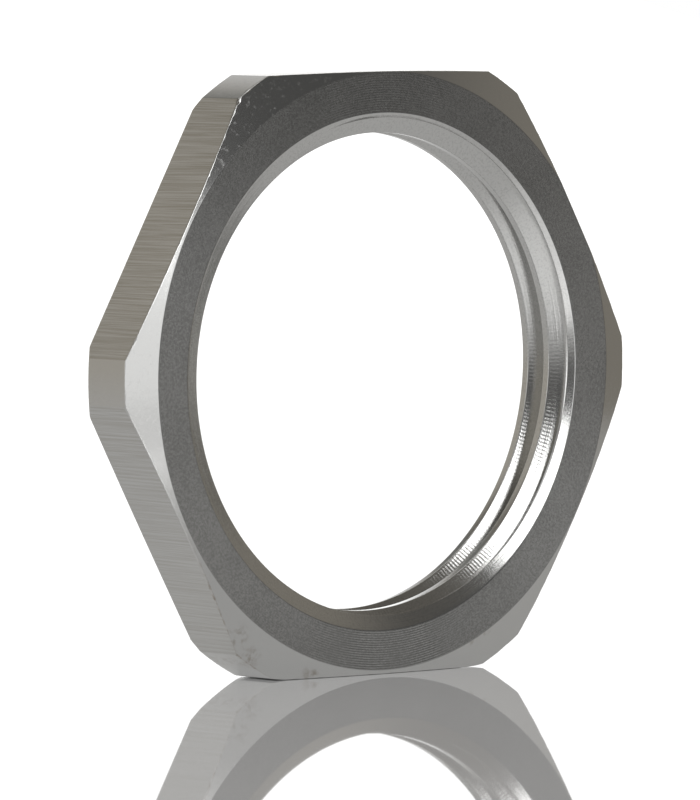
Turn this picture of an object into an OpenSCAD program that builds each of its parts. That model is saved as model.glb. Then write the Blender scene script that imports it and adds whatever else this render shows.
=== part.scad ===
/* [Hexagon] */
// Wall left between the root of the thread and each flat of the hexagon
wall = 2; // [1:0.25:5]
// Thickness of the nut from face to face
thickness = 3.5; // [3:0.1:10]
// How far each sharp corner of the bar is turned back towards the axis
corner_cut = 0.64; // [0.3:0.02:1.2]

/* [Face chamfers] */
// Distance from the flats to the ring that the front chamfer leaves on the front face
ring_inset = 0.05; // [0:0.05:0.6]
// Angle between the front face and the front chamfer
front_chamfer_angle = 15; // [5:1:35]
// Width of the back chamfer, measured inwards from the turned corners
back_chamfer_width = 0.3; // [0.2:0.1:1.5]
// Angle between the back face and the back chamfer
back_chamfer_angle = 50; // [5:1:50]

/* [Thread] */
// Nominal diameter of the metric thread
thread_d = 25; // [16:0.5:63]
// Distance from one turn of the thread to the next
pitch = 1.5; // [1:0.25:2]
// Angle from the right-hand corner to where the groove runs out through the front face
thread_start = 108; // [0:1:359]
// Angle between the two sides of each countersink
countersink_angle = 120; // [90:5:130]
// How far the mouth of each countersink clears the root of the thread
mouth_margin = 0.05; // [0:0.05:0.3]

/* [Hidden] */

// The bar is the one whose width across the flats leaves the wall round the thread
across_flats = thread_d + 2 * wall;
// The corners of a hexagon lie further from the axis than its flats by 1 / cos(30)
corner_r = across_flats / 2 / cos(30) - corner_cut;
front_ring_r = across_flats / 2 - ring_inset;
back_ring_r = corner_r - back_chamfer_width;
// How far each chamfer reaches down the turned corners
front_chamfer_drop = (corner_r - front_ring_r) * tan(front_chamfer_angle);
back_chamfer_drop = back_chamfer_width * tan(back_chamfer_angle);

// Standard metric profile: a 60 degree groove with a root an eighth of the pitch wide,
// cut into a bore that leaves crests a quarter of the pitch wide
flank_angle = 30;
root_r = thread_d / 2;
root_width = pitch / 8;
crest_width = pitch / 4;
crest_r = root_r - (pitch - root_width - crest_width) / 2 / tan(flank_angle);
// The groove's cutter starts this far inside the crests
cutter_depth_inside = pitch / 8;
// Steps that the cutter takes round one turn of the thread
turn_steps = 72;

// Length by which a cutter runs past the face that it cuts
overcut = 1;
// Facets of a full circle
$fn = 180;

// Hexagon bar, cut to length, with two corners on the X axis
module hexagon_bar() {
    cylinder(h = thickness, r = across_flats / 2 / cos(30), center = true, $fn = 6);
}

// What the lathe leaves: corners turned to one diameter and both faces chamfered
module turned_envelope() {
    face_z = thickness / 2;
    rotate_extrude()
        polygon([
            [0, -face_z],
            [back_ring_r, -face_z],
            [corner_r, -face_z + back_chamfer_drop],
            [corner_r, face_z - front_chamfer_drop],
            [front_ring_r, face_z],
            [0, face_z]
        ]);
}

// Cone that opens the bore at the upper face, so that the thread starts cleanly
module countersink() {
    flare = tan(countersink_angle / 2);
    depth = (root_r + mouth_margin - crest_r) / flare;
    translate([0, 0, thickness / 2 - depth])
        cylinder(h = depth + overcut, r1 = crest_r, r2 = crest_r + (depth + overcut) * flare);
}

// Bore through the crests of the thread, with a countersink at each face
module bore() {
    cylinder(h = thickness + 2 * overcut, r = crest_r, center = true);
    countersink();
    mirror([0, 0, 1]) countersink();
}

// Section of the groove as radius and height above its middle, from the inner end round the root
function groove_section() =
    let (
        inner_r = crest_r - cutter_depth_inside,
        inner_width = root_width + 2 * (root_r - inner_r) * tan(flank_angle)
    )
    [
        [inner_r, -inner_width / 2],
        [root_r, -root_width / 2],
        [root_r, root_width / 2],
        [inner_r, inner_width / 2]
    ];

// Right-hand helical cutter: the section climbs one pitch a turn, from half a pitch below
// the nut to half a pitch above it
module thread_groove() {
    section = groove_section();
    sides = len(section);
    steps = ceil((thickness / pitch + 1) * turn_steps);
    start_z = -(thickness + pitch) / 2;
    start_angle = thread_start - 360 * (thickness / 2 - start_z) / pitch;
    points = [
        for (step = [0 : steps])
            let (
                angle = start_angle + 360 * step / turn_steps,
                z = start_z + pitch * step / turn_steps
            )
            for (corner = section)
                [corner[0] * cos(angle), corner[0] * sin(angle), z + corner[1]]
    ];
    walls = [
        for (step = [0 : steps - 1], side = [0 : sides - 1])
            let (
                here = step * sides + side,
                beside = step * sides + (side + 1) % sides
            )
            each [
                [here, beside, beside + sides],
                [here, beside + sides, here + sides]
            ]
    ];
    first_end = [for (side = [sides - 1 : -1 : 0]) side];
    last_end = [for (side = [0 : sides - 1]) steps * sides + side];
    polyhedron(points = points, faces = concat(walls, [first_end, last_end]));
}

// The nut stands on one of its flats, with the thread along Y and its front face towards -Y
module locknut() {
    color([0.56, 0.55, 0.53])
        rotate([90, 0, 0])
            difference() {
                intersection() {
                    hexagon_bar();
                    turned_envelope();
                }
                bore();
                thread_groove();
            }
}

locknut();
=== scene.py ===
import bmesh
import bpy
import numpy as np
from mathutils import Matrix, Vector


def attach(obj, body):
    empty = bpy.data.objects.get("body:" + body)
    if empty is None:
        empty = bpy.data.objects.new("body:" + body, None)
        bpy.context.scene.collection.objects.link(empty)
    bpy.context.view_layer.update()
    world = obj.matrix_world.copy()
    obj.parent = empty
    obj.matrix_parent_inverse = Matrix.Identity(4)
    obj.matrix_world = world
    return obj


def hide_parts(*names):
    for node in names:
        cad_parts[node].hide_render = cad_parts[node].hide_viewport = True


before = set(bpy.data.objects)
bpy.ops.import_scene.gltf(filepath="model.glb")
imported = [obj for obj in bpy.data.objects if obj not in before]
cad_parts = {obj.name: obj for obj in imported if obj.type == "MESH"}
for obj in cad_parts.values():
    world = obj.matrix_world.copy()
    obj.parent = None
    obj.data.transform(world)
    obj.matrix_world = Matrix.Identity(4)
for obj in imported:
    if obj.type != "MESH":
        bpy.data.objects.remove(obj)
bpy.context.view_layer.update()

# Locknut. Brass hexagon bar, faced, chamfered, bored, countersunk and threaded on a lathe, parted
# off and nickel plated. Its flats are crowned a little, and the bar ran a little out of true, so
# that the middles of the turned circles lie up to 0.12 mm off the hexagon's.

MM = 0.001
ACROSS_FLATS = 29.0 * MM
THICKNESS = 3.5 * MM
TURNED_CORNER_R = 16.1016 * MM
FACE_Y = THICKNESS / 2
FLAT_DISTANCE = ACROSS_FLATS / 2

# A chamfer's slope is its depth for each step outwards
FRONT_RING_R = 14.52 * MM
FRONT_CHAMFER_SLOPE = np.tan(np.radians(15))
BACK_RING_R = TURNED_CORNER_R - 0.3 * MM
BACK_CHAMFER_SLOPE = np.tan(np.radians(50))
LEAST_CHAMFER = 0.03 * MM

# A countersink's or flank's slope is what its radius gains for each step along the axis
MOUTH_R = 12.55 * MM
COUNTERSINK_SLOPE = np.tan(np.radians(63))
THREAD_ROOT_R = 12.45 * MM
THREAD_CREST_R = 11.625 * MM
PITCH = 1.5 * MM
FLANK_SLOPE = np.tan(np.radians(60))
HALF_GROOVE_ANGLE = np.radians(30)

# Where the groove's middle meets the front face. Angles run from +X towards +Z
RUN_OUT_ANGLE = np.radians(108)

# How far, and at what angle, the middle of the turned corners and mouths lies off the hexagon's,
# and how far the front ring's and the thread's lie off it along X and Z, in mm
OUT_OF_TRUE = 0.065 * MM
OUT_OF_TRUE_ANGLE = np.radians(115)
RING_OFF = (0.09, 0.08)
THREAD_OFF = (0.03, 0.016)

# Each flat's crown at the front and at the back, and the power that shapes it, from the flat at 30
# degrees round to the one at 330
FRONT_CROWN = np.array([0.025, 0.12, 0.13, 0.09, 0.12, 0.12]) * MM
BACK_CROWN = np.array([0.03, 0.06, 0.0, 0.04, 0.12, 0.03]) * MM
CROWN_POWER = np.array([2, 2, 2, 2, 16, 6])

# How far the edges are eased
SHARP_EDGE = 0.03 * MM
FRONT_EDGE = 0.028 * MM
THREAD_EDGE = 0.035 * MM
CORNER_EDGE = 0.015 * MM
CONE_EDGE = 0.012 * MM


def lower_of(a, b, blend):
    """The lower of two values, less a parabola where they are closer than blend: a quarter of
    blend where they are equal, and nothing where they are blend apart."""
    near = np.maximum(blend - np.abs(a - b), 0) / blend
    return np.minimum(a, b) - near**2 * blend / 4


def eased(corners, cut, arc_rows, side_shares):
    """Rows along a section whose inner corners are eased: each corner P becomes the parabola
    (1-t)^2 A + 2t(1-t) P + t^2 B, where A and B lie on its two sides at the distance cut, or at
    0.4 of the side where that is shorter. An arc has arc_rows rows, and the side that follows it
    one at each of side_shares. corners is (corner, column, 2), cut is (corner, column)."""
    side = np.diff(corners, axis=0)
    length = np.linalg.norm(side, axis=2, keepdims=True)
    along = side / length
    reach = np.minimum(cut[..., None], 0.4 * np.minimum(length[:-1], length[1:]))
    start = corners[1:-1] - reach * along[:-1]
    end = corners[1:-1] + reach * along[1:]
    t = np.linspace(0, 1, arc_rows)[:, None, None, None]
    arcs = (1 - t) ** 2 * start + 2 * t * (1 - t) * corners[1:-1] + t**2 * end
    share = np.array(side_shares)[:, None, None, None]
    sides = (1 - share) * end[:-1] + share * start[1:]
    rows = [arcs[:, 0]]
    for corner in range(1, arcs.shape[1]):
        rows += [sides[:, corner - 1], arcs[:, corner]]
    return np.concatenate(rows)


# Columns round the axis: an even spread, with close ones where a flat meets a turned corner. The
# cosine there is the flat's distance over the corner's radius, and the place moves END_TURN
# radians for each metre that the corner stands further out
END_TURN = 0.128 / MM
CLOSE_STEP = 0.0012
even = np.linspace(0, 2 * np.pi, 601)
flat_middles = np.radians(np.arange(30, 390, 60))[:, None]
both_ends = np.array([-1, 1])
flat_ends = flat_middles + np.arccos(FLAT_DISTANCE / TURNED_CORNER_R) * both_ends
flat_ends += END_TURN * OUT_OF_TRUE * np.cos(flat_ends - OUT_OF_TRUE_ANGLE) * both_ends
close = np.array([-5, -2.5, -1.2, -0.5, 0, 0.5, 1.2, 2.5, 5]) * CLOSE_STEP
angle = np.unique(np.concatenate([even, (flat_ends[..., None] + close).ravel()]))
columns = len(angle)


def moved(off):
    """How much further out a circle lies at each angle when its middle moves by off: the move
    along X times the cosine of the angle, plus the move along Z times its sine."""
    return (off[0] * np.cos(angle) + off[1] * np.sin(angle)) * MM


# The side: the flat's distance over the cosine of the angle from its middle, or the turned corner
# where that is lower. A flat bulges by its crown times 1 - share^power, where share is the angle
# from its middle over that of its end
from_middle = np.mod(angle, np.pi / 3) - np.pi / 6
off_centre = OUT_OF_TRUE * np.cos(angle - OUT_OF_TRUE_ANGLE)
corner_r = TURNED_CORNER_R + off_centre
side_r = lower_of(FLAT_DISTANCE / np.cos(from_middle), corner_r, CORNER_EDGE)
flat_number = np.minimum(angle // (np.pi / 3), 5).astype(int)
share_of_half = np.abs(from_middle / np.arccos(FLAT_DISTANCE / corner_r))
bulge = np.maximum(1 - share_of_half ** CROWN_POWER[flat_number], 0)
front_r = side_r + FRONT_CROWN[flat_number] * bulge
back_r = side_r + BACK_CROWN[flat_number] * bulge
ring_r = lower_of(FRONT_RING_R + moved(RING_OFF), front_r - LEAST_CHAMFER, LEAST_CHAMFER)
mouth_r = MOUTH_R + off_centre
tapped = moved(THREAD_OFF)
crest_r = THREAD_CREST_R + tapped
cone_end = FACE_Y - (mouth_r - crest_r) / COUNTERSINK_SLOPE
on_corner = np.maximum(side_r - BACK_RING_R - off_centre, SHARP_EDGE)

# Outer rows: from the front mouth across the front face, over the side and back to the rear mouth
outline = np.stack([
    np.stack([r * np.ones(columns), y * np.ones(columns)], axis=1)
    for r, y in (
        (crest_r, -cone_end),
        (mouth_r, -FACE_Y),
        (ring_r, -FACE_Y),
        (front_r, -FACE_Y + (front_r - ring_r) * FRONT_CHAMFER_SLOPE),
        (back_r, FACE_Y - on_corner * BACK_CHAMFER_SLOPE),
        (back_r - on_corner, FACE_Y),
        (mouth_r, FACE_Y),
        (crest_r, cone_end),
    )
])

# Inner corners of the outline where a finish starts, by number
front_mouth, front_corner, back_ring = 0, 2, 4
cut = SHARP_EDGE * np.ones((len(outline) - 2, columns))

# The front edge wears by a share that wavers from degree to degree, and has a few nicks: each
# adds its depth times exp(-(angle from its middle / half-width)^2)
NICKS = (  # angle in degrees, half-width in degrees, depth in mm
    (114.4, 0.35, 0.11), (121.3, 0.4, 0.10), (124.0, 0.5, 0.13), (126.3, 0.3, 0.10),
    (131.0, 0.3, 0.05), (138.5, 0.4, 0.04), (153.0, 0.3, 0.05), (172.5, 0.4, 0.09),
    (184.5, 0.5, 0.06), (199.0, 0.4, 0.05), (229.5, 0.3, 0.05), (236.5, 0.4, 0.07),
    (301.0, 0.5, 0.05), (55.0, 0.4, 0.05), (4.0, 0.4, 0.05), (20.0, 0.3, 0.04),
)
degrees = np.linspace(0, 2 * np.pi, 361)
wear = np.random.default_rng(5).uniform(0.3, 1.7, len(degrees))
wear[-1] = wear[0]
cut[front_corner] = FRONT_EDGE * np.interp(angle, degrees, wear)
for middle, half_width, depth in NICKS:
    from_nick = (angle - np.radians(middle)) / np.radians(half_width)
    cut[front_corner] += depth * MM * np.exp(-(from_nick ** 2))
ARC_ROWS = 5
SIDE_SHARES = (0.04, 0.3, 0.7, 0.96)
outer = eased(outline, cut, ARC_ROWS, SIDE_SHARES)

# The groove's section over one pitch: half a crest at each end, and flanks that would meet at the
# apex. The parabola that rounds them reaches half its cut times the cosine short of the apex,
# which is the root's radius
half_crest = PITCH / 8
crest_end = PITCH / 2 - half_crest
apex_r = THREAD_CREST_R + crest_end * FLANK_SLOPE
round_root = 2 * (apex_r - THREAD_ROOT_R) / np.cos(HALF_GROOVE_ANGLE)
groove = np.array([
    [THREAD_CREST_R, -PITCH / 2],
    [THREAD_CREST_R, -crest_end],
    [apex_r, 0],
    [THREAD_CREST_R, crest_end],
    [THREAD_CREST_R, PITCH / 2],
])[:, None]
groove_cut = np.array([[THREAD_EDGE], [round_root], [THREAD_EDGE]])
groove_r, groove_y = eased(groove, groove_cut, arc_rows=7, side_shares=(0.06, 0.5, 0.94))[:, 0].T

# The groove's middle moves one pitch towards the front face each turn
groove_middle = -FACE_Y + PITCH * (RUN_OUT_ANGLE - angle) / (2 * np.pi)
turns = np.arange(-2, 5) * PITCH


def bore_radius(y):
    """The thread's section, read at the distance from the nearest groove's middle, or the cone of
    a countersink where that is wider: the mouth's radius less the slope times the depth."""
    from_groove = np.mod(y - groove_middle + PITCH / 2, PITCH) - PITCH / 2
    thread = np.interp(from_groove, groove_y, groove_r) + tapped
    cone = mouth_r - COUNTERSINK_SLOPE * (FACE_Y - np.abs(y))
    return -lower_of(-thread, -cone, CONE_EDGE)


def ridge(face, turn):
    """Where the cone at a face, -1 front or 1 back, meets the near flank of a groove: the mean of
    the cone's inner end and the crest's edge, each weighted by its slope."""
    edge = FLANK_SLOPE * (turn + groove_middle + face * crest_end)
    return (edge + face * COUNTERSINK_SLOPE * cone_end) / (FLANK_SLOPE + COUNTERSINK_SLOPE)


# Bore rows follow the groove's own edges, those ridges and the countersinks' inner ends, and start
# and stop where the eased mouths do, SHARP_EDGE back along the cone
mouth = FACE_Y - SHARP_EDGE / np.hypot(1, COUNTERSINK_SLOPE)
ridge_steps = np.array([-0.02, -0.006, 0, 0.006, 0.02]) * MM
edges = np.append(groove_y, [-PITCH / 2, PITCH / 2])
helical = (turns[:, None] + edges).ravel()[:, None] + groove_middle
ridges = np.stack(
    [np.clip(ridge(-1, t) + s, -mouth, -cone_end) for t in turns for s in ridge_steps]
    + [np.clip(ridge(1, t) + s, cone_end, mouth) for t in turns for s in ridge_steps]
)
fixed = np.concatenate([ridge_steps[:, None] - cone_end, ridge_steps[:, None] + cone_end])
bore_y = np.sort(np.clip(np.concatenate([helical, ridges, fixed]), -mouth, mouth), axis=0)[::-1]
bore_y = np.concatenate([mouth * np.ones((1, columns)), bore_y, -mouth * np.ones((1, columns))])
bore = np.stack([bore_radius(bore_y), bore_y], axis=2)

# The whole section, turned about Y: X is the radius times the cosine of the angle, Z times its sine
section = np.concatenate([outer, bore])
rows = len(section)
points = np.stack([
    section[..., 0] * np.cos(angle), section[..., 1], section[..., 0] * np.sin(angle)
], axis=2)


def side_after(corner):
    """The faces of the side that follows an inner corner, which start at the last row of its arc:
    one more than there are rows along the side."""
    first = corner * (ARC_ROWS + len(SIDE_SHARES)) + ARC_ROWS - 1
    return slice(first, first + len(SIDE_SHARES) + 1)


FACED, TURNED, DRAWN, THREADED = range(4)
finish = np.full((rows - 1, columns - 1), TURNED)
finish[side_after(front_mouth)] = FACED
finish[side_after(back_ring)] = FACED
mid_angle = (angle[1:] + angle[:-1]) / 2
mid_corner_r = (corner_r[1:] + corner_r[:-1]) / 2
on_flat = FLAT_DISTANCE / np.cos(np.mod(mid_angle, np.pi / 3) - np.pi / 6) < mid_corner_r
finish[side_after(front_corner), on_flat] = DRAWN
finish[len(outer) - 1:] = THREADED

index = np.arange(rows * columns).reshape(rows, columns)
quads = np.stack([index[:-1, :-1], index[:-1, 1:], index[1:, 1:], index[1:, :-1]], axis=2)
nut_mesh = bpy.data.meshes.new("locknut_plated")
nut_mesh.from_pydata(points.reshape(-1, 3), [], quads.reshape(-1, 4).tolist())
nut_mesh.polygons.foreach_set("material_index", finish.ravel().astype(np.int32))

# The last column lies on the first, and rows that run out at a mouth lie on each other
SAME_PLACE = 0.001 * MM
weld = bmesh.new()
weld.from_mesh(nut_mesh)
bmesh.ops.remove_doubles(weld, verts=weld.verts, dist=SAME_PLACE)
bmesh.ops.dissolve_degenerate(weld, edges=weld.edges, dist=SAME_PLACE / 2)
bmesh.ops.recalc_face_normals(weld, faces=weld.faces)
weld.to_mesh(nut_mesh)
weld.free()
nut_mesh.shade_smooth()

locknut = bpy.data.objects.new("locknut_plated", nut_mesh)
bpy.context.scene.collection.objects.link(locknut)


class Recipe:
    """The nodes of a material or a world, added one after another. A value is a plain number,
    vector or colour, or what another node gives. place is the point that is being coloured."""

    def __init__(self, tree, coordinates):
        self.nodes, self.links = tree.nodes, tree.links
        self.place = self.made("TexCoord").outputs[coordinates]

    def feed(self, socket, value):
        """Links a node's value to a socket, or sets a plain one on it."""
        if isinstance(value, bpy.types.NodeSocket):
            self.links.new(value, socket)
        else:
            socket.default_value = value

    def made(self, kind, *values, operation=None):
        """A node of a kind and operation, whose first sockets get the values in order."""
        node = self.nodes.new("ShaderNode" + kind)
        if operation:
            node.operation = operation
        for socket, value in zip(node.inputs, values):
            self.feed(socket, value)
        return node

    def math(self, operation, *values):
        """The operation on one or two values."""
        return self.made("Math", *values, operation=operation).outputs[0]

    def total(self, *values):
        """The sum of several values."""
        result = values[0]
        for value in values[1:]:
            result = self.math("ADD", result, value)
        return result

    def product(self, *values):
        """The product of several values."""
        result = values[0]
        for value in values[1:]:
            result = self.math("MULTIPLY", result, value)
        return result

    def span(self, value, low, high, out_low=0.0, out_high=1.0):
        """out_low below low and out_high above high, and between them the smooth step
        3s^2 - 2s^3 from one to the other, where s is the share of the way from low to high."""
        node = self.made("MapRange", value, low, high, out_low, out_high)
        node.interpolation_type = "SMOOTHSTEP"
        return node.outputs[0]

    def blend(self, share, first, second):
        """A colour: first where share is 0, second where it is 1, and in proportion between."""
        node = self.made("Mix")
        node.data_type = "RGBA"
        self.feed(node.inputs["Factor"], share)
        for name, color in (("A", first), ("B", second)):
            value = color if isinstance(color, bpy.types.NodeSocket) else (*color, 1)
            self.feed([s for s in node.inputs if s.name == name and s.type == "RGBA"][0], value)
        return [s for s in node.outputs if s.type == "RGBA"][0]

    def scaled(self, scale):
        """The place, with X, Y and Z each times a number of its own."""
        return self.made("VectorMath", self.place, scale, operation="MULTIPLY").outputs[0]

    def axes(self):
        """The place's X, Y and Z."""
        return self.made("SeparateXYZ", self.place).outputs

    def point(self, *values):
        """A place made of up to three numbers."""
        return self.made("CombineXYZ", *values).outputs[0]

    def noise(self, place, cells, detail=2.0, roughness=0.5):
        """Smooth noise about 0.5, with so many cells in a metre. Each further octave of detail is
        half the size of the one before, and roughness times as strong."""
        node = self.made("TexNoise")
        self.feed(node.inputs["Vector"], place)
        node.inputs["Scale"].default_value = cells
        node.inputs["Detail"].default_value = detail
        node.inputs["Roughness"].default_value = roughness
        return node.outputs["Fac"]


class Finish(Recipe):
    """A finish of the nut or the sheet: a shaded surface whose patterns lie on Object
    coordinates, which are the shared frame's own, in metres."""

    def __init__(self, name, color, roughness, metallic=1.0):
        self.material = bpy.data.materials.new(name)
        self.material.use_nodes = True
        super().__init__(self.material.node_tree, "Object")
        self.surface = self.nodes["Principled BSDF"]
        self.surface.inputs["Base Color"].default_value = (*color, 1)
        self.surface.inputs["Metallic"].default_value = metallic
        self.surface.inputs["Roughness"].default_value = roughness

    def from_axis(self):
        """Distance from the nut's axis: the length of the place without its Y."""
        flat = self.scaled((1, 0, 1))
        return self.made("VectorMath", flat, operation="LENGTH").outputs["Value"]

    def near(self, x, z, reach):
        """1 on the line through x and z along Y, falling to 0 at reach from it, all in mm."""
        spot = (x * MM, 0, z * MM)
        apart = self.made("VectorMath", self.scaled((1, 0, 1)), spot, operation="DISTANCE")
        return self.span(apart.outputs["Value"], 0.0, reach * MM, 1.0, 0.0)

    def relief(self, height):
        """Raises the surface by a height in metres, as a bump."""
        bump = self.made("Bump")
        bump.inputs["Distance"].default_value = 1.0
        self.feed(bump.inputs["Height"], height)
        self.feed(self.surface.inputs["Normal"], bump.outputs["Normal"])

    def color(self, value):
        """Sets the surface's colour."""
        self.feed(self.surface.inputs["Base Color"], value)


NICKEL = (0.60, 0.60, 0.59)

# Faced rings: wavering tool marks round the axis, 0.115 mm apart, which show most at the top and
# bottom, with painted light and shade along them there, a fine grain in the plating, and painted
# shade that darkens the ring towards the bottom. The marks spread the highlight across them
RING_PALE = (0.625, 0.625, 0.615)
# The dull tone serves the random cloud and speckle, and the painted shade of the foot and marks
RING_DULL_AND_SHADE = (0.455, 0.455, 0.445)
MARK_SPACING = 0.115 * MM
MARK_DEPTHS = (0.0005 * MM, 0.0013 * MM)
RING_GRAIN = 0.002 * MM

ring = Finish("faced_ring", NICKEL, 0.25)
ring.surface.inputs["Anisotropic"].default_value = 0.6
ring.feed(ring.surface.inputs["Tangent"], ring.scaled((1000, 0, 1000)))
waver = ring.product(ring.noise(ring.place, 900, 1), 1.5)
mark_phase = ring.total(ring.product(ring.from_axis(), 2 * np.pi / MARK_SPACING), waver)
marks = ring.math("SINE", mark_phase)
x, _, z = ring.axes()
sideways = ring.math("ABSOLUTE", x)
depth = ring.product(
    ring.span(ring.noise(ring.place, 500, 2), 0.35, 0.65, *MARK_DEPTHS),
    ring.span(sideways, 3 * MM, 5.5 * MM, 1.0, 0.15)
)
grain = ring.noise(ring.place, 9000, 3, 0.6)
ring.relief(ring.total(ring.product(marks, depth), ring.product(grain, RING_GRAIN)))
cloud = ring.span(ring.noise(ring.place, 400, 3), 0.35, 0.7, 0.0, 0.3)
# Painted shade: the ring darkens towards the bottom
painted_foot_shade = ring.span(z, -13.8 * MM, -9 * MM, 0.45, 0.0)
speckle = ring.span(grain, 0.36, 0.64, -0.15, 0.68)
# Painted light and shade along the tool marks, near the top and bottom only
painted_mark_shading = ring.product(marks, ring.span(sideways, 3 * MM, 5 * MM, 0.2, 0.0))
ring.color(ring.blend(ring.total(cloud, painted_foot_shade, speckle, painted_mark_shading), RING_PALE, RING_DULL_AND_SHADE))

# Turned chamfers and corners: smooth, with a sparse grain, a brown tide mark that dried along the
# front edge of the lower left flat and of the corner below it, and a few spots along the foot
STAIN = (0.27, 0.22, 0.17)
TURNED_GRAIN = 0.0013 * MM
LOWER_LEFT = (-0.866, -0.5)
STAIN_SPOTS = (  # x, z and reach in mm
    (-9.2, -12.4, 0.9), (-8.3, -13.4, 0.8), (-4.8, -14.35, 0.5),
    (-4.35, -14.4, 0.35), (5.9, -13.2, 0.6), (6.6, -12.8, 0.5),
)

turned = Finish("turned_chamfer", NICKEL, 0.2)
grain = turned.noise(turned.place, 4500, 2)
turned.relief(turned.product(grain, TURNED_GRAIN))
turned.feed(turned.surface.inputs["Roughness"], turned.span(grain, 0.55, 0.75, 0.14, 0.24))
x, y, z = turned.axes()
towards_flat = turned.total(
    turned.product(x, LOWER_LEFT[0]), turned.product(z, LOWER_LEFT[1])
)
flat_tide = turned.product(
    turned.span(towards_flat, 14.46 * MM, 14.5 * MM), turned.near(-10.6, -11.3, 4.5)
)
corner_tide = turned.product(
    turned.span(turned.from_axis(), 15.98 * MM, 16.04 * MM), turned.near(-8.8, -13.4, 3.0),
    turned.span(y, -1.24 * MM, -1.1 * MM, 1.0, 0.0)
)
tide = turned.math("MAXIMUM", flat_tide, corner_tide)
patchy = turned.span(turned.noise(turned.place, 2800, 3, 0.6), 0.42, 0.7, 0.0, 0.6)
spots = turned.total(*(turned.near(*spot) for spot in STAIN_SPOTS))
tide_stain = turned.product(tide, turned.total(patchy, 0.15))
stained = turned.math("MAXIMUM", tide_stain, turned.product(spots, patchy))
turned.color(turned.blend(stained, NICKEL, STAIN))

# Drawn flats: streaks along the bar, fine and broad, fainter towards the foot
STREAK = (0.45, 0.437, 0.405)
FINE_STREAKS = 0.007 * MM
BROAD_STREAKS = 0.008 * MM
STREAK_STRETCH = 0.012

flats = Finish("drawn_flat", NICKEL, 0.26)
x, y, z = flats.axes()
around = flats.product(flats.math("ARCTAN2", z, x), TURNED_CORNER_R)
unrolled = flats.point(around, flats.product(y, STREAK_STRETCH))
fine = flats.noise(unrolled, 9000, 4, 0.7)
broad = flats.noise(unrolled, 1800, 2)
strength = flats.span(z, -7 * MM, 6 * MM, 0.45, 1.0)
grooves = flats.total(flats.product(fine, FINE_STREAKS), flats.product(broad, BROAD_STREAKS))
flats.relief(flats.product(strength, grooves))
streak = flats.span(flats.total(flats.product(fine, 0.75), flats.product(broad, 0.25)), 0.4, 0.6)
flats.color(flats.blend(flats.product(streak, strength), NICKEL, STREAK))

# Cut thread: bright, with lines along the thread, and chatter ribs across the inner part of its
# flanks, which are deeper towards the foot and stop short of the countersinks
NICKEL_DULL = (0.54, 0.54, 0.53)
RIBS_PER_RADIAN = 405
RIB_HEIGHTS = (0.0013 * MM, 0.0004 * MM)
LINE_HEIGHT = 0.004 * MM
LINE_DRIFT = 0.05 * MM
THREAD_GRAIN = 0.002 * MM

thread = Finish("cut_thread", NICKEL, 0.16)
x, y, z = thread.axes()
turn = thread.math("ARCTAN2", z, x)
radius = thread.from_axis()
from_cone = thread.total(
    radius, thread.product(thread.math("ABSOLUTE", y), -COUNTERSINK_SLOPE),
    FACE_Y * COUNTERSINK_SLOPE - MOUTH_R
)
on_flank = thread.product(
    thread.span(from_cone, 0.05 * MM, 0.1 * MM), thread.span(radius, 11.70 * MM, 11.74 * MM),
    thread.span(radius, 12.06 * MM, 12.16 * MM, 1.0, 0.0)
)
height = thread.span(z, -8 * MM, 3 * MM, *RIB_HEIGHTS)
waver = thread.product(thread.noise(thread.place, 700, 1), 3)
ribs = thread.math("SINE", thread.total(thread.product(turn, RIBS_PER_RADIAN), waver))
where = thread.span(thread.noise(thread.place, 400, 1), 0.35, 0.6, 0.5, 1.0)
from_helix = thread.total(y, thread.product(turn, PITCH / (2 * np.pi)))
unwound = thread.point(radius, from_helix, thread.product(turn, LINE_DRIFT))
lines = thread.noise(unwound, 14000, 2)
grain = thread.noise(thread.place, 9000, 2)
thread.relief(thread.total(
    thread.product(ribs, on_flank, where, height), thread.product(grain, THREAD_GRAIN),
    thread.product(lines, LINE_HEIGHT)
))
thread.color(thread.blend(thread.span(grain, 0.45, 0.7), NICKEL, NICKEL_DULL))

# In the order of FACED, TURNED, DRAWN and THREADED
for made in (ring, turned, flats, thread):
    nut_mesh.materials.append(made.material)

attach(locknut, "root")
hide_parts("locknut")

# Table: a sheet of white acrylic with a painted glow that stands in for light from below, so that
# shadows on it stay faint. It reaches past the camera and far back, ends a hand's breadth to the
# right, and is not part of the object.

SHEET_TURN = np.radians(50)
SHEET_LEFT, SHEET_RIGHT, SHEET_FRONT, SHEET_BACK = -1.2, 0.11, -1.0, 4.0
SHEET_GAP = 0.003 * MM
SHEET_TOP = -(FLAT_DISTANCE + FRONT_CROWN[4] + SHEET_GAP)
SHEET_GREY = (0.35, 0.35, 0.35)
ACRYLIC_IOR = 1.5

# The sheet's own directions, to the right and away from the camera
across = np.array([np.sin(SHEET_TURN), -np.cos(SHEET_TURN)])
away = np.array([np.cos(SHEET_TURN), np.sin(SHEET_TURN)])
sheet_corners = [
    (*(a * across + b * away), SHEET_TOP)
    for a, b in (
        (SHEET_LEFT, SHEET_FRONT), (SHEET_RIGHT, SHEET_FRONT),
        (SHEET_RIGHT, SHEET_BACK), (SHEET_LEFT, SHEET_BACK),
    )
]
sheet_mesh = bpy.data.meshes.new("acrylic_sheet")
sheet_mesh.from_pydata(sheet_corners, [], [(0, 1, 2, 3)])
sheet = bpy.data.objects.new("acrylic_sheet", sheet_mesh)
bpy.context.scene.collection.objects.link(sheet)

acrylic = Finish("white_acrylic", SHEET_GREY, 0.02, metallic=0.0)
acrylic.surface.inputs["IOR"].default_value = ACRYLIC_IOR
acrylic.surface.inputs["Emission Color"].default_value = (1, 1, 1, 1)
fresnel = acrylic.made("Fresnel")
fresnel.inputs["IOR"].default_value = ACRYLIC_IOR
x, y, _ = acrylic.axes()
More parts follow.
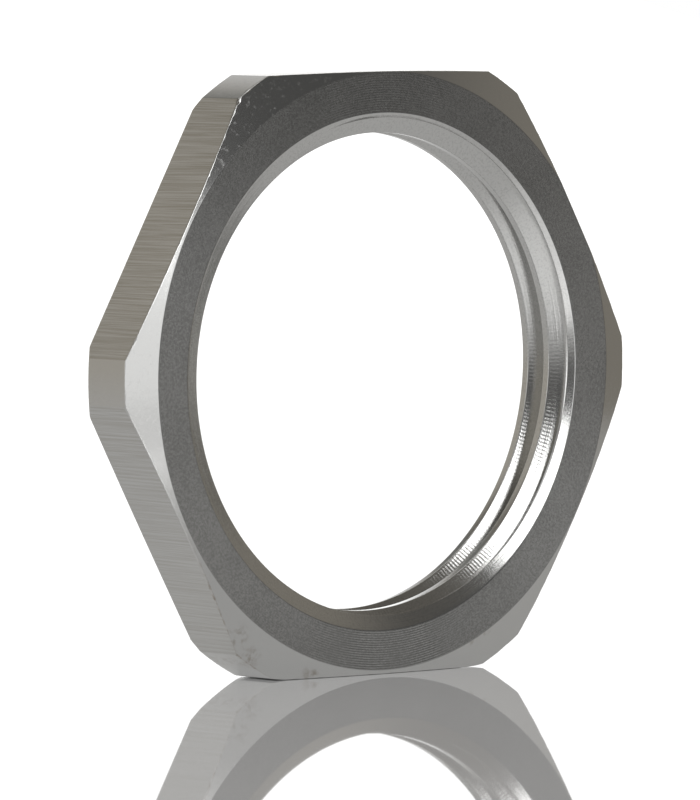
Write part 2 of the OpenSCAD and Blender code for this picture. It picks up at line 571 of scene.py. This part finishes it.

# A faint pool of light is painted into the sheet's glow at the nut's right front
POOL_PAINTED_GLOW = 0.12
to_right = acrylic.total(acrylic.product(x, across[0]), acrylic.product(y, across[1]))
to_front = acrylic.total(acrylic.product(x, -away[0]), acrylic.product(y, -away[1]))
painted_pool = acrylic.product(
    acrylic.span(to_right, 10 * MM, 15 * MM), acrylic.span(to_right, 70 * MM, 110 * MM, 1.0, 0.0),
    acrylic.span(to_front, 14 * MM, 24 * MM), acrylic.span(to_front, 110 * MM, 150 * MM, 1.0, 0.0)
)

# A painted shadow dims the glow where the nut stands: on a strip a little left of its middle, whose
# half-width shrinks with the square of x, as the crowned foot's does. It fades over a narrow border
SHEET_PAINTED_GLOW = 0.36
FOOT_MIDDLE = -0.7 * MM
FOOT_HALF_LENGTH = 5.9 * MM
FOOT_HALF_WIDTH = 1.70 * MM
FOOT_CURVE = 0.0092 / MM
SHADE_BORDER = 0.06 * MM
past_end = acrylic.total(
    acrylic.math("ABSOLUTE", acrylic.total(x, -FOOT_MIDDLE)), -FOOT_HALF_LENGTH
)
past_side = acrylic.total(
    acrylic.math("ABSOLUTE", y), acrylic.product(x, x, FOOT_CURVE), -FOOT_HALF_WIDTH
)
from_foot = acrylic.math("MAXIMUM", past_end, past_side)
# Painted shadow: the glow falls to a tenth under the foot
shaded = acrylic.span(from_foot, 0.0, SHADE_BORDER, 0.1, 1.0)
# Painted light: the sheet glows, less where it mirrors more, with the painted pool and shadow
painted_glow = acrylic.product(
    acrylic.math("SUBTRACT", 1.0, fresnel.outputs[0]),
    acrylic.total(acrylic.product(shaded, SHEET_PAINTED_GLOW), acrylic.product(painted_pool, POOL_PAINTED_GLOW))
)
acrylic.feed(acrylic.surface.inputs["Emission Strength"], painted_glow)
sheet_mesh.materials.append(acrylic.material)

# Studio: a white backdrop behind the nut, with the walls and cards that the metal mirrors, all as
# soft spots on the world, and two softboxes. The camera itself sees plain white behind the nut.

world = bpy.data.worlds.new("studio")
bpy.context.scene.world = world
world.use_nodes = True
studio = Recipe(world.node_tree, "Generated")


def facing(direction, start, full):
    """A share of 0 at start degrees or more from a direction and 1 at full degrees or less: the
    smooth step, from one angle's cosine to the other's, of the cosine between the direction and
    the place."""
    towards = Vector(direction).normalized()
    cosine = studio.made("VectorMath", studio.place, towards, operation="DOT_PRODUCT")
    start_cosine, full_cosine = np.cos(np.radians([start, full])).tolist()
    return studio.span(cosine.outputs["Value"], start_cosine, full_cosine)


DARK_SIDE = (0.088, 0.087, 0.085)
PALE_WALL = (0.49, 0.463, 0.415)
SPOTS = (  # direction, degrees from it where the spot starts and where it is full, colour
    ((0, 0, 1), 60, 41.41, (0.15, 0.138, 0.12)),  # ceiling
    ((1, 0.2, 0.2), 60, 31.79, (0.27, 0.25, 0.217)),  # wall at the right
    ((-0.47, -0.57, 0.60), 22, 12, (0.9, 0.9, 0.9)),  # lamp above the camera
    ((-0.743, -0.669, 0), 28, 16, (0.42, 0.41, 0.40)),  # grey card round the camera
    ((-0.95, -0.3, -0.02), 20, 12, (1.8, 1.8, 1.8)),  # lamp at the left
    ((0.233, -0.97, -0.061), 18.5, 13, (1.12, 1.12, 1.12)),  # white card in front
    ((0.66, 0.75, 0.05), 44, 24, (0.8, 0.8, 0.8)),  # rim of the backdrop
    ((0.12, 0.72, 0.68), 12, 5, (0.22, 0.22, 0.21)),  # gap above the backdrop
    ((0.66, 0.75, 0.05), 28, 15, (1.5, 1.5, 1.5)),  # middle of the backdrop
)
room = studio.blend(facing((-0.55, 0.83, 0), 107.46, 66.42), DARK_SIDE, PALE_WALL)
for direction, start, full, color in SPOTS:
    room = studio.blend(facing(direction, start, full), room, color)
seen = studio.made("LightPath").outputs["Is Camera Ray"]
studio.feed(studio.nodes["Background"].inputs["Color"], studio.blend(seen, room, (1, 1, 1)))


def softbox(name, azimuth, elevation, distance, width, height, power):
    """A rectangular lamp that faces the nut from an azimuth, 0 in front and 90 at the right, and
    an elevation: X is sin a cos e, Y is -cos a cos e and Z is sin e, times the distance."""
    lamp = bpy.data.lights.new(name, "AREA")
    lamp.shape = "RECTANGLE"
    lamp.size, lamp.size_y, lamp.energy = width, height, power
    a, e = np.radians(azimuth), np.radians(elevation)
    place = Vector((np.sin(a) * np.cos(e), -np.cos(a) * np.cos(e), np.sin(e))) * distance
    facing_nut = place.to_track_quat("Z", "Y").to_matrix().to_4x4()
    box = bpy.data.objects.new(name, lamp)
    box.matrix_world = Matrix.Translation(place) @ facing_nut
    bpy.context.scene.collection.objects.link(box)


softbox("front_softbox", azimuth=-1.5, elevation=22.5, distance=0.6, width=0.25, height=0.31,
        power=0.8)
softbox("overhead_softbox", azimuth=180, elevation=80, distance=0.9, width=0.7, height=0.7,
        power=1.5)

# Camera: a long lens half a metre away, to the left of the nut's front and a little above it. It
# is rolled a hair, and the nut sits a little to the right of and above the picture's middle.

AZIMUTH, ELEVATION = np.radians(-41.43), np.radians(3.28)
DISTANCE = 494.97 * MM
ROLL = np.radians(0.077)
OFF_RIGHT, OFF_UP = 0.547 * MM, 1.381 * MM

towards_camera = np.array([
    np.sin(AZIMUTH) * np.cos(ELEVATION), -np.cos(AZIMUTH) * np.cos(ELEVATION), np.sin(ELEVATION)
])
right = np.cross(-towards_camera, (0, 0, 1))
right /= np.linalg.norm(right)
up = np.cross(right, -towards_camera)
right, up = (
    np.cos(ROLL) * right + np.sin(ROLL) * up,
    -np.sin(ROLL) * right + np.cos(ROLL) * up,
)
camera_data = bpy.data.cameras.new("camera")
camera_data.sensor_width = 36.0
camera_data.lens = 458.6
camera_data.clip_end = 20
camera = bpy.data.objects.new("camera", camera_data)
camera_place = DISTANCE * towards_camera - OFF_RIGHT * right - OFF_UP * up
camera_turn = Matrix(np.stack([right, up, towards_camera], axis=1).tolist()).to_4x4()
camera.matrix_world = Matrix.Translation(camera_place) @ camera_turn
bpy.context.scene.collection.objects.link(camera)
bpy.context.scene.camera = camera
bpy.context.scene.view_settings.view_transform = "Standard"
